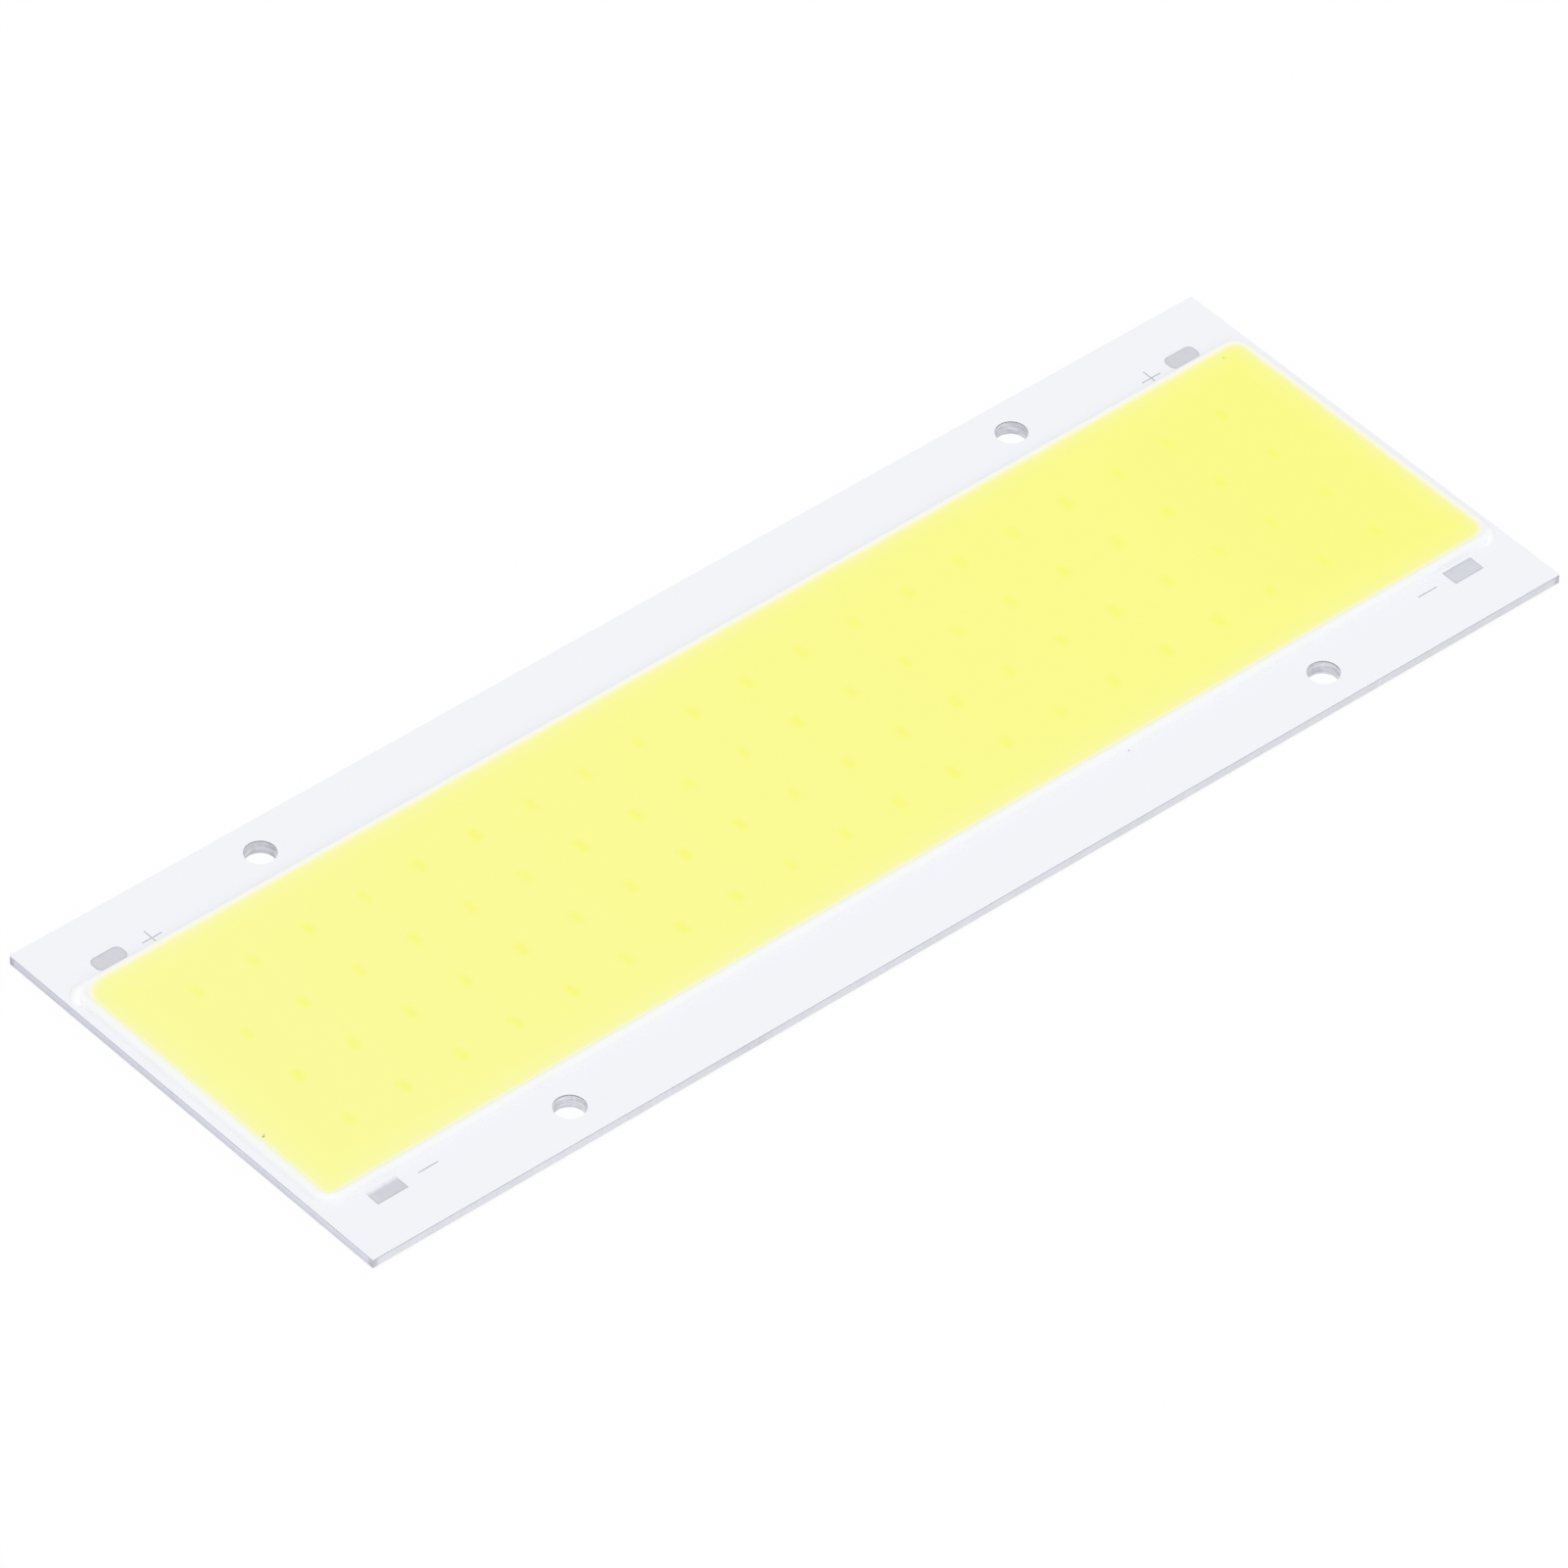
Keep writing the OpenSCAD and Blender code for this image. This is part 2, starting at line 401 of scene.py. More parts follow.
class Effects:
    """The shared node groups, each built once.

    Each group is drawn by a method that takes its sketch, whose point is the group's Vector, and
    the group's other inputs, and returns the group's outputs.
    """

    VECTORS = ("Vector", "Facing", "Squeeze")
    HOLE_MARGIN = 0.5 * MM

    def __init__(self) -> None:
        """Builds every group."""
        self.groups = {}
        drawn = (self._outline, self._drilled, self._mottle, self._streaks, self._dust)
        for effect, draw in zip(SharedEffect, drawn):
            name, others, outputs = effect.value
            inputs = ("Vector", *others)
            tree = bpy.data.node_groups.new(name, "ShaderNodeTree")
            for label in inputs:
                kind = "NodeSocketVector" if label in self.VECTORS else "NodeSocketFloat"
                tree.interface.new_socket(name=label, in_out="INPUT", socket_type=kind)
            for label in outputs:
                tree.interface.new_socket(name=label, in_out="OUTPUT", socket_type="NodeSocketFloat")
            sketch = Sketch(tree)
            entry, leaving = sketch.add("NodeGroupInput"), sketch.add("NodeGroupOutput")
            sketch.point, *given = (Field(sketch, entry.outputs[label]) for label in inputs)
            for label, result in zip(outputs, draw(sketch, *given)):
                sketch.feed(leaving.inputs[label], result)
            self.groups[effect] = tree

    @staticmethod
    def _outline(sketch: Sketch, length: Field, width: Field, corner: Field) -> tuple[Field]:
        """Distance to a rounded rectangle, seen from above, negative inside it.

        With p the point's distance past the straight sides less the corner radius, the result
        is the length of p's positive parts, plus the larger of its parts where both are
        negative, less the corner radius.

        Args:
            sketch: The group's sketch.
            length: Half the rectangle's length.
            width: Half its width.
            corner: Its corner radius.

        Returns:
            The distance.
        """
        x, y, _ = sketch.parts()
        past = (abs(x) - (length - corner), abs(y) - (width - corner))
        along, across = (sketch.math("MAXIMUM", part, 0.0) for part in past)
        outside = sketch.math("SQRT", along * along + across * across)
        inside = sketch.math("MINIMUM", sketch.math("MAXIMUM", *past), 0.0)
        return (outside + inside - corner,)

    @staticmethod
    def _drilled(sketch: Sketch, facing: Field, length: Field, width: Field) -> tuple[Field]:
        """1 on the upright walls of the holes, 0 on level faces and on the board's outer walls.

        The holes' walls are the upright ones that lie well inside both pairs of sides.

        Args:
            sketch: The group's sketch.
            facing: The surface's own direction.
            length: Half the board's length.
            width: Half its width.

        Returns:
            The mask.
        """
        x, y, _ = sketch.parts()
        _, _, up = sketch.parts(facing)
        inside = (length - abs(x) > Effects.HOLE_MARGIN) * (width - abs(y) > Effects.HOLE_MARGIN)
        return (up.steep() * inside,)

    @staticmethod
    def _mottle(sketch: Sketch, size: Field, amount: Field) -> tuple[Field, Field]:
        """Returns cloudy variation about 1, noise with clouds of that size, and the clouds themselves."""
        cloud = sketch.noise(1.0 / size, detail=3.0)
        return (cloud - 0.5) * amount + 1.0, cloud

    @staticmethod
    def _streaks(sketch: Sketch, squeeze: Field, amount: Field) -> tuple[Field, Field]:
        """Fine parallel lines: noise read on a vector that is squeezed along some axes.

        Args:
            sketch: The group's sketch.
            squeeze: Features in a metre along each axis.
            amount: How far the gain swings about 1.

        Returns:
            The gain, and the lines themselves from 0 to 1.
        """
        squeezed = sketch.add("ShaderNodeVectorMath", {0: sketch.point, 1: squeeze}, operation="MULTIPLY")
        line = sketch.noise(1.0, detail=4.0, vector=squeezed.outputs[0])
        return (line - 0.5) * amount + 1.0, line

    @staticmethod
    def _dust(sketch: Sketch, spacing: Field, radius: Field) -> tuple[Field]:
        """Sparse tiny dots: the middles of those cells whose random number is the highest.

        Args:
            sketch: The group's sketch.
            spacing: Size of a cell.
            radius: Radius of a dot.

        Returns:
            The mask, up to 1 in the dots.
        """
        feeds = {"Vector": sketch.point, "Scale": 1.0 / spacing}
        cells = sketch.add("ShaderNodeTexVoronoi", feeds, feature="F1")
        near = Field(sketch, cells.outputs["Distance"]) / (radius / spacing)
        chance, _, _ = sketch.parts(cells.outputs["Color"])
        return (near.ramp(0.5, 1.0, 1.0, 0.0) * chance.ramp(0.80, 1.0),)


# ---- Finishes -----------------------------------------------------------------------------


@dataclass(frozen=True)
class Look:
    """What a finish feeds to the Principled shader.

    Attributes:
        colour: Base colour.
        roughness: Roughness.
        bumps: Pairs of a height from 0 to 1 and what 1 stands for, in metres.
        metallic: Share of metal.
        ior: Index of refraction.
    """

    colour: Value
    roughness: Value
    bumps: tuple[tuple[Value, float], ...]
    metallic: Value = 0.0
    ior: float = 1.5


@dataclass(frozen=True)
class Finish:
    """What every finish has: the slot that it stands for, and the shared effects."""

    effects: Effects

    slot = "none"

    def material(self, name: str = "") -> bpy.types.Material:
        """Makes the material.

        Args:
            name: Its name, where the slot's isn't to be used.

        Returns:
            The material, with its look fed to a Principled shader.
        """
        material = bpy.data.materials.new(name or f"finish_{self.slot}")
        sketch = Sketch.of_owner(material, self.effects.groups)
        sketch.point = sketch.seen_from("Object")
        look = self.shade(sketch)
        feeds = {
            "Base Color": look.colour,
            "Roughness": look.roughness,
            "Metallic": look.metallic,
            "IOR": look.ior,
        }
        below = {}
        for height, depth in look.bumps:
            bump = sketch.add("ShaderNodeBump", {"Height": height, "Distance": depth, **below})
            below = {"Normal": bump.outputs["Normal"]}
        shader = sketch.add("ShaderNodeBsdfPrincipled", {**feeds, **below})
        sketch.add("ShaderNodeOutputMaterial", {"Surface": shader.outputs["BSDF"]})
        return material

    def shade(self, sketch: Sketch) -> Look:
        """Returns the look; each finish has its own."""
        raise NotImplementedError


@dataclass(frozen=True)
class SheetAluminium(Finish):
    """Bare aluminium sheet: rolled on its back, drilled in its holes, scored and snapped all round.

    Attributes:
        outline: The board's outline, which tells its outer walls from those of the holes.
        rolled: Colour of the rolled back face.
        torn: Colour of the outer walls above the scored groove, where the metal tore.
        darkening: Painted shade: how much darker the torn walls get from the middle to +X and to +Y.
        cutter_bright: Colour of the groove side below, which the cutter left bright.
        end_painted_shade: Painted shade: gain at the top of the two short ends' torn walls.
        end_low_painted_shade: Painted shade lower down there, beside the groove.
        end_painted_tint: Tint of the painted shade on those walls, which makes them bluer.
        near_holes_painted_shade: Painted shade on the walls of the holes towards -Y.
        far_holes_painted_shade: Painted shade on the walls of the holes towards +Y, which is darker.
        mouth_painted_light: Painted light on those walls just under the dielectric.
        corner_shade: Gain where two torn walls meet, which broke off last.
        corner_reach: How far from the corner that shows.
        upright_lines: Squeeze of the streaks on torn walls.
        rolling_lines: Squeeze of the streaks on the rolled face.
        drill_rings: Squeeze of the rings that the drill left.
    """

    outline: Rectangle
    rolled: Colour = (0.74, 0.745, 0.77)
    torn: Colour = (0.735, 0.735, 0.786)
    darkening: tuple[float, float] = (0.035, 0.050)
    cutter_bright: Colour = (0.99, 0.99, 0.99)
    end_painted_shade: float = 0.970
    end_low_painted_shade: float = 0.875
    end_painted_tint: Colour = (0.985, 1.0, 1.045)
    near_holes_painted_shade: float = 0.955
    far_holes_painted_shade: float = 0.905
    mouth_painted_light: float = 1.14
    corner_shade: float = 0.74
    corner_reach: float = 0.8 * MM
    upright_lines: Colour = (2600.0, 2600.0, 380.0)
    rolling_lines: Colour = (60.0, 5200.0, 2500.0)
    drill_rings: Colour = (350.0, 350.0, 4600.0)
    slot = "aluminium_base"

    def shade(self, sketch: Sketch) -> Look:
        """Rolled grain on the back, upright streaks on torn walls, a bright groove, ringed holes.

        Args:
            sketch: The material's sketch.

        Returns:
            The look.
        """
        x, y, level = sketch.parts()
        across, _, up = sketch.parts(sketch.seen_from("Normal"))
        upright_gain, upright = sketch.effect(SharedEffect.STREAKS, Squeeze=self.upright_lines, Amount=0.11)
        rolled_gain, rolled = sketch.effect(SharedEffect.STREAKS, Squeeze=self.rolling_lines, Amount=0.26)
        rings, _ = sketch.effect(SharedEffect.STREAKS, Squeeze=self.drill_rings, Amount=0.95)
        stain_gain, stains = sketch.effect(SharedEffect.MOTTLE, Size=9.0 * MM, Amount=0.14)
        uneven, _ = sketch.effect(SharedEffect.MOTTLE, Size=1.8 * MM, Amount=0.12)
        chatter, _ = sketch.effect(SharedEffect.MOTTLE, Size=1.0 * MM, Amount=0.75)
        wall = up.steep()
        groove = wall * up.ramp(-0.20, -0.10, 1.0, 0.0)
        tear = wall - groove
        hole = sketch.in_holes(self.outline)
        outer = 1.0 - hole
        end = abs(across).ramp(0.6, 0.9) * outer
        # Painted shade on the short ends' walls: darker low down, and bluer.
        end_painted_loss = level.ramp(0.5 * MM, 1.2 * MM, self.end_low_painted_shade - 1.0, self.end_painted_shade - 1.0)
        # Painted shade on the walls of the holes, darker towards +Y.
        drilled = y.ramp(-10.0 * MM, 10.0 * MM, self.near_holes_painted_shade, self.far_holes_painted_shade)
        # Painted light on the holes' walls just under the dielectric.
        entry = level.ramp(0.9 * MM, 1.2 * MM, 1.0, self.mouth_painted_light)
        hole_gain = hole * (rings * chatter * drilled * entry - 1.0) + 1.0
        # Painted shade that darkens the torn walls towards +X and +Y.
        slope_x = -self.darkening[0] / self.outline.half_length
        slope_y = -self.darkening[1] / self.outline.half_width
        painted_falloff_gain = outer * (x * slope_x + y * slope_y) + 1.0
        gain = upright_gain * uneven * (end * end_painted_loss + 1.0) * hole_gain * painted_falloff_gain
        gain = gain * self.corner(sketch, x, y, upright)
        torn = sketch.scaled(self.torn, gain, end.blend(WHITE, self.end_painted_tint))
        face = sketch.scaled(self.rolled, rolled_gain * stain_gain)
        lines = (rolled + (upright - rolled) * tear) * (1.0 - groove)
        grit = sketch.noise(5000.0, detail=3.0) * tear
        return Look(
            colour=groove.blend(wall.blend(face, torn), self.cutter_bright),
            roughness=stains * 0.10 + tear * 0.16 - groove * 0.18 + 0.30,
            bumps=((lines, 4e-6), (grit, 5e-6)),
            metallic=1.0,
        )

    def corner(self, sketch: Sketch, x: Field, y: Field, raggedness: Field) -> Field:
        """Works out a gain that falls to corner_shade towards each of the board's corners.

        Args:
            sketch: The material's sketch.
            x: The point's place along the board.
            y: Its place across the board.
            raggedness: Noise that breaks up the limit.

        Returns:
            The gain.
        """
        from_ends, from_sides = self.outline.half_length - abs(x), self.outline.half_width - abs(y)
        ragged = raggedness * (-0.6 * MM) + sketch.math("MAXIMUM", from_ends, from_sides)
        return ragged.ramp(-0.1 * MM, self.corner_reach - 0.3 * MM, self.corner_shade, 1.0)


@dataclass(frozen=True)
class FilledResin(Finish):
    """The dielectric: grey resin with glass in it, seen only as a line at cut edges.

    Attributes:
        outline: The board's outline.
        colour: The resin's colour.
        fibre: Colour of the cut ends of fibres.
        nick_shade: Gain in the nicks.
        drilled: Its colour in the holes, where the drill left it clean and pale.
    """

    outline: Rectangle
    colour: Colour = (0.46, 0.47, 0.52)
    fibre: Colour = (0.60, 0.61, 0.66)
    nick_shade: float = 0.66
    drilled: Colour = (0.70, 0.71, 0.74)
    slot = "dielectric"

    def shade(self, sketch: Sketch) -> Look:
        """Matte, with the cut ends of fibres as pale dots and a few nicks where it tore.

        Args:
            sketch: The material's sketch.

        Returns:
            The look.
        """
        fibres = sketch.noise(6000.0)
        cloudy, _ = sketch.effect(SharedEffect.MOTTLE, Size=0.7 * MM, Amount=0.2)
        nick = sketch.noise(260.0, detail=1.0).ramp(0.66, 0.76, 1.0, self.nick_shade)
        torn = fibres.ramp(0.55, 0.75).blend(sketch.scaled(self.colour, cloudy * nick), self.fibre)
        colour = sketch.in_holes(self.outline).blend(torn, self.drilled)
        return Look(colour, roughness=0.75, bumps=((fibres, 8e-6),))


@dataclass(frozen=True)
class CopperFoil(Finish):
    """Etched copper, under the mask."""

    colour: Colour = (0.74, 0.43, 0.26)
    slot = "copper"

    def shade(self, sketch: Sketch) -> Look:
        """Satin foil with a light etch grain.

        Args:
            sketch: The material's sketch.

        Returns:
            The look.
        """
        grain = sketch.noise(9000.0, detail=3.0)
        cloudy, _ = sketch.effect(SharedEffect.MOTTLE, Size=5.0 * MM, Amount=0.2)
        colour = sketch.scaled(self.colour, cloudy)
        return Look(colour, roughness=grain * 0.2 + 0.3, bumps=((grain, 4e-6),), metallic=1.0)


@dataclass(frozen=True)
class MaskInk(Finish):
    """White solder mask: an even satin ink that shows the copper tabs below as a faint step.

    Attributes:
        tabs: Outline of the copper tab at +X and +Y; the others are its mirror images.
        board: The board's outline.
        colour: The ink's colour.
        drilled_shade: Gain on the ink's cut edge in the holes, which is darker.
        dust: Colour of the dust on it.
    """

    tabs: Rectangle
    board: Rectangle
    colour: Colour = (0.890, 0.899, 0.938)
    drilled_shade: float = 0.30
    dust: Colour = (0.55, 0.53, 0.50)
    slot = "white_mask"

    def shade(self, sketch: Sketch) -> Look:
        """Barely cloudy colour, orange-peel bump, the copper step and a few dust dots.

        Args:
            sketch: The material's sketch.

        Returns:
            The look.
        """
        x, y, _ = sketch.parts()
        step = sketch.rim(self.tabs, abs(x), abs(y), 0.1 * MM).ramp(-0.05 * MM, 0.12 * MM, 1.0, 0.0)
        cloudy, _ = sketch.effect(SharedEffect.MOTTLE, Size=6.0 * MM, Amount=0.012)
        dots = sketch.effect(SharedEffect.DUST, Spacing=5.0 * MM, Radius=0.07 * MM)[0]
        drilled = sketch.in_holes(self.board) * (self.drilled_shade - 1.0) + 1.0
        colour = (dots * 0.45).blend(sketch.scaled(self.colour, cloudy * drilled), self.dust)
        peel = sketch.noise(1800.0)
        return Look(colour, roughness=peel * 0.10 + 0.36, bumps=((step, 1.2e-5), (peel, 4e-6)))


@dataclass(frozen=True)
class LevelledTin(Finish):
    """Tin on the four pads: dull grey, slightly rippled, darker where it thins at the rim.

    Attributes:
        pad: Outline of the positive pad at +X; the others are its mirror images.
        round_corner: Corner radius of the positive pads.
        colour: Colour of the tin.
        rim_shade: Gain at the rim.
        right_minus_gain: Gain on the negative pad at +X, which is brighter and bluer.
        film_colour: Colour of the silicone film on the negative pad at -X.
        film_from: How far in from the pad's rim the film starts to fade.
        film_reach: Over what distance it fades out.
    """

    pad: Rectangle
    round_corner: float = 0.65 * MM
    colour: Colour = (0.655, 0.66, 0.705)
    rim_shade: float = 0.90
    right_minus_gain: Colour = (1.03, 1.04, 1.055)
    film_colour: Colour = (0.895, 0.905, 0.935)
    film_from: float = 0.15 * MM
    film_reach: float = 0.65 * MM
    slot = "tin"

    def shade(self, sketch: Sketch) -> Look:
        """Follows the distance to the pad's own rim, with round corners on the positive side.

        A silicone film crept over the inner rim of the negative pad at -X.

        Args:
            sketch: The material's sketch.

        Returns:
            The look.
        """
        x, y, _ = sketch.parts()
        corner = (y > 0.0) * self.round_corner
        rim = sketch.rim(self.pad, abs(x), abs(y), corner).ramp(-0.22 * MM, -0.02 * MM)
        darkening = rim * (self.rim_shade - 1.0) + 1.0
        ripple = sketch.noise(1500.0)
        cloudy, _ = sketch.effect(SharedEffect.MOTTLE, Size=0.6 * MM, Amount=0.10)
        # The negative pad at +X is brighter and bluer.
        right_minus_tint = ((x > 0.0) * (y < 0.0)).blend(WHITE, self.right_minus_gain)
        inward = self.pad.half_width - self.pad.centre_y - y
        wandering = ripple * (0.3 * MM) + inward
        cover = wandering.ramp(self.film_from, self.film_from + self.film_reach, 0.9, 0.0)
        film = cover * ((x < 0.0) * (y < 0.0))
        return Look(
            colour=film.blend(sketch.scaled(self.colour, darkening * cloudy, right_minus_tint), self.film_colour),
            roughness=ripple * 0.2 + 0.38,
            bumps=((1.0 - rim, 1.2e-5), (ripple, 1.5e-5)),
            metallic=1.0 - film,
        )


@dataclass(frozen=True)
class ReflowedSolder(Finish):
    """Solder under the dies."""

    colour: Colour = (0.60, 0.60, 0.63)
    slot = "solder"

    def shade(self, sketch: Sketch) -> Look:
        """Bright, with a fine frosting.

        Args:
            sketch: The material's sketch.

        Returns:
            The look.
        """
        frost = sketch.noise(12000.0, detail=3.0)
        colour = sketch.scaled(self.colour, frost.ramp(0.0, 1.0, 0.9, 1.1))
        return Look(colour, roughness=frost * 0.3 + 0.2, bumps=((frost, 4e-6),), metallic=1.0)


@dataclass(frozen=True)
class SapphireDie(Finish):
    """The dies: polished sapphire over a pale metal stack, with sawn sides."""

    colour: Colour = (0.62, 0.68, 0.60)
    saw_lines: Colour = (9000.0, 9000.0, 40000.0)
    slot = "die"

    def shade(self, sketch: Sketch) -> Look:
        """Glossy on top, frosted where it was sawn.

        Args:
            sketch: The material's sketch.

        Returns:
            The look.
        """
        sawn = sketch.parts(sketch.seen_from("Normal"))[2].steep(0.2, 0.7)
        gain, lines = sketch.effect(SharedEffect.STREAKS, Squeeze=self.saw_lines, Amount=0.25)
        colour = sketch.scaled(self.colour, gain)
        return Look(colour, roughness=sawn * 0.4 + 0.12, bumps=((lines * sawn, 5e-6),))


@dataclass(frozen=True)
class Silicone(Finish):
    """What the dam and the fill share: the phosphor's yellow ends softly at the dam's crest.

    Attributes:
        shore: Outline of the fill's surface, where the yellow has half faded.
        near_corners: Corner radii of the shore line towards -Y, at -X and at +X.
        far_corners: The same towards +Y. The bead starts and ends at the first of them.
        fade_in: How far inside the shore line the fade starts.
        fade_out: How far outside it the fade ends.
        wander: How much the shore line wanders.
        yellow: Colour of the phosphor beside the shore line.
        white: Colour of the dam.
        shore_painted_light: Painted light: gain at the shore line, where the fill meets the bead.
    """

    shore: Rectangle
    near_corners: tuple[float, float] = (0.9 * MM, 1.75 * MM)
    far_corners: tuple[float, float] = (2.5 * MM, 1.3 * MM)
    fade_in: float = 0.48 * MM
    fade_out: float = 0.54 * MM
    wander: float = 0.20 * MM
    yellow: Colour = (0.955, 0.955, 0.42)
    white: Colour = (0.908, 0.915, 0.922)
    shore_painted_light: float = 0.018

    def depth(self, sketch: Sketch) -> Field:
        """Returns the signed distance to the wandering shore line, negative over the fill."""
        x, y, _ = sketch.parts()
        right = x > 0.0
        pairs = (self.near_corners, self.far_corners)
        near, far = (right * (second - first) + first for first, second in pairs)
        corner = (y > 0.0) * (far - near) + near
        return (sketch.noise(260.0) - 0.5) * self.wander + sketch.rim(self.shore, x, y, corner)

    def faded(self, sketch: Sketch, depth: Field, yellow: Value) -> Field:
        """Fades a yellow into the dam's white across the shore line.

        Painted light peaks where the two are half mixed: four times the product of their shares.

        Args:
            sketch: The material's sketch.
            depth: Signed distance to the shore line.
            yellow: The phosphor's colour there.

        Returns:
            The colour.
        """
        share = depth.ramp(-self.fade_in, self.fade_out)
        # Painted light along the shore line, strongest where yellow and white are half mixed.
        shore_light_gain = share * (1.0 - share) * (4.0 * self.shore_painted_light) + 1.0
        return sketch.scaled(share.blend(yellow, self.white), shore_light_gain)


@dataclass(frozen=True)
class DamSilicone(Silicone):
    """White silicone bead, smooth, with the slow waves of a dispensed line.

    Attributes:
        foot_painted_light: Painted light: its colour at its outer foot, lighter than at its crest.
        foot_from: How far outside the shore line that painted light starts.
        foot_to: Where it is full.
        dust: Colour of the dust on it.
    """

    foot_painted_light: Colour = (0.950, 0.956, 0.962)
    foot_from: float = 0.62 * MM
    foot_to: float = 1.00 * MM
    dust: Colour = (0.52, 0.50, 0.46)
    slot = "dam_silicone"

    def shade(self, sketch: Sketch) -> Look:
        """White, stained yellow on the slope that holds the fill, with painted light at the outer foot.

        Args:
            sketch: The material's sketch.

        Returns:
            The look.
        """
        depth = self.depth(sketch)
        stained = self.faded(sketch, depth, self.yellow)
        # Painted light at the dam's outer foot.
        foot_lit = depth.ramp(self.foot_from, self.foot_to).blend(stained, self.foot_painted_light)
        gain, waves = sketch.effect(SharedEffect.MOTTLE, Size=2.6 * MM, Amount=0.015)
        dots = sketch.effect(SharedEffect.DUST, Spacing=4.0 * MM, Radius=0.05 * MM)[0]
        colour = (dots * 0.25).blend(sketch.scaled(foot_lit, gain), self.dust)
        return Look(colour, roughness=0.42, bumps=((waves, 2e-5),), ior=SILICONE_IOR)


@dataclass(frozen=True)
class PhosphorSilicone(Silicone):
    """The fill: clear silicone full of yellow phosphor, with the dies as faint deeper marks.

    Attributes:
        grid: Where the dies stand.
        painted_sheen_end: Colour at the end towards -X, paled by a painted sheen.
        no_sheen_end: Colour at the end towards +X, where the painted sheen has faded out.
        clear_mark: Gain over a die at the pale end.
        hidden_mark: Gain over a die at the deep end.
        drift: How far each mark lies from its die along X and Y, because the fill's surface
            bends what comes up through it.
        mark_fade: How far inside a die's sides its mark starts to fade, and how far outside
            them it ends.
        thin_rim: Over what distance from the shore line the fill's paleness falls by 63 percent.
        thin_share: Share of white that the fill takes at the shore line.
        dust: Colour of the dust in it.
    """

    grid: DieGrid = field(default_factory=DieGrid.measured)
    painted_sheen_end: Colour = (0.958, 0.955, 0.316)
    no_sheen_end: Colour = (0.959, 0.957, 0.224)
    clear_mark: Colour = (0.985, 0.995, 0.58)
    hidden_mark: Colour = (0.990, 0.998, 0.685)
    drift: tuple[float, float] = (-0.20 * MM, -0.27 * MM)
    mark_fade: tuple[float, float] = (0.36 * MM, 0.50 * MM)
    thin_rim: float = 1.0 * MM
    thin_share: float = 0.21
    dust: Colour = (0.70, 0.68, 0.16)
    slot = "phosphor_silicone"

    def marks(self, sketch: Sketch) -> Field:
        """Returns up to 1 over the middle of each die, falling softly to 0 past its sides.

        Each coordinate is wrapped to its distance from the nearest column or row, and what lies
        outside the field of dies is cut off. The number of that column and row gives each die
        its own strength.
        """
        grid = self.grid
        x, y, _ = sketch.parts()
        axes = (
            (x - self.drift[0], grid.pitch_x, grid.end_x, grid.half_w),
            (y - self.drift[1], grid.pitch_y, grid.end_y, grid.half_l),
        )
        shares, numbers = [], []
        for place, pitch, end, half in axes:
            offset = place - end
            away = abs(sketch.math("WRAP", offset, pitch / 2, -pitch / 2))
            soft = away.ramp(half - self.mark_fade[0], half + self.mark_fade[1], 1.0, 0.0)
            shares.append(soft * (abs(place) < end + pitch / 2))
            numbers.append(sketch.math("ROUND", offset / pitch))
        feeds = {"Vector": sketch.vector(*numbers)}
        chance = sketch.add("ShaderNodeTexWhiteNoise", feeds, noise_dimensions="2D")
        return shares[0] * shares[1] * (Field(sketch, chance.outputs["Value"]) * 0.35 + 0.65)

    def shade(self, sketch: Sketch) -> Look:
        """Yellow under a painted sheen that fades along the board, deeper over each die, paler near the
        dam.

        Args:
            sketch: The material's sketch.

        Returns:
            The look.
        """
        x, _, _ = sketch.parts()
        along = x * (0.5 / self.shore.half_length) + 0.5
        # Painted sheen: paler towards -X, fading out towards +X.
        sheen_graded = along.blend(self.painted_sheen_end, self.no_sheen_end)
        tint = along.blend(self.clear_mark, self.hidden_mark)
        marked = self.marks(sketch).blend(sheen_graded, sketch.scaled(sheen_graded, tint))
        depth = self.depth(sketch)
        falling = sketch.math("EXPONENT", sketch.math("MINIMUM", depth, 0.0) / self.thin_rim)
        paler = (falling * self.thin_share).blend(marked, self.white)
        gain, cloud = sketch.effect(SharedEffect.MOTTLE, Size=1.6 * MM, Amount=0.012)
        dots = sketch.effect(SharedEffect.DUST, Spacing=7.0 * MM, Radius=0.06 * MM)[0]
        colour = (dots * 0.20).blend(sketch.scaled(self.faded(sketch, depth, paler), gain), self.dust)
        grain = sketch.noise(5200.0, detail=3.0)
        bumps = ((cloud, 8e-6), (grain, 2.5e-6))
        return Look(colour, roughness=grain * 0.12 + 0.36, bumps=bumps, ior=SILICONE_IOR)


@dataclass(frozen=True)
class SignInk(Finish):
    """Thin grey printing ink."""

    colour: Colour = (0.50, 0.50, 0.54)
    thin_colour: Colour = (0.66, 0.66, 0.70)
    slot = "white_mask"

    def shade(self, sketch: Sketch) -> Look:
        """Screened ink: uneven cover, so that the mask shows through in places.

        Args:
            sketch: The material's sketch.

        Returns:
            The look.
        """
        cover = sketch.noise(7000.0, detail=3.0)
        colour = cover.ramp(0.45, 0.75).blend(self.colour, self.thin_colour)
        return Look(colour, roughness=0.55, bumps=((cover, 2e-6),))


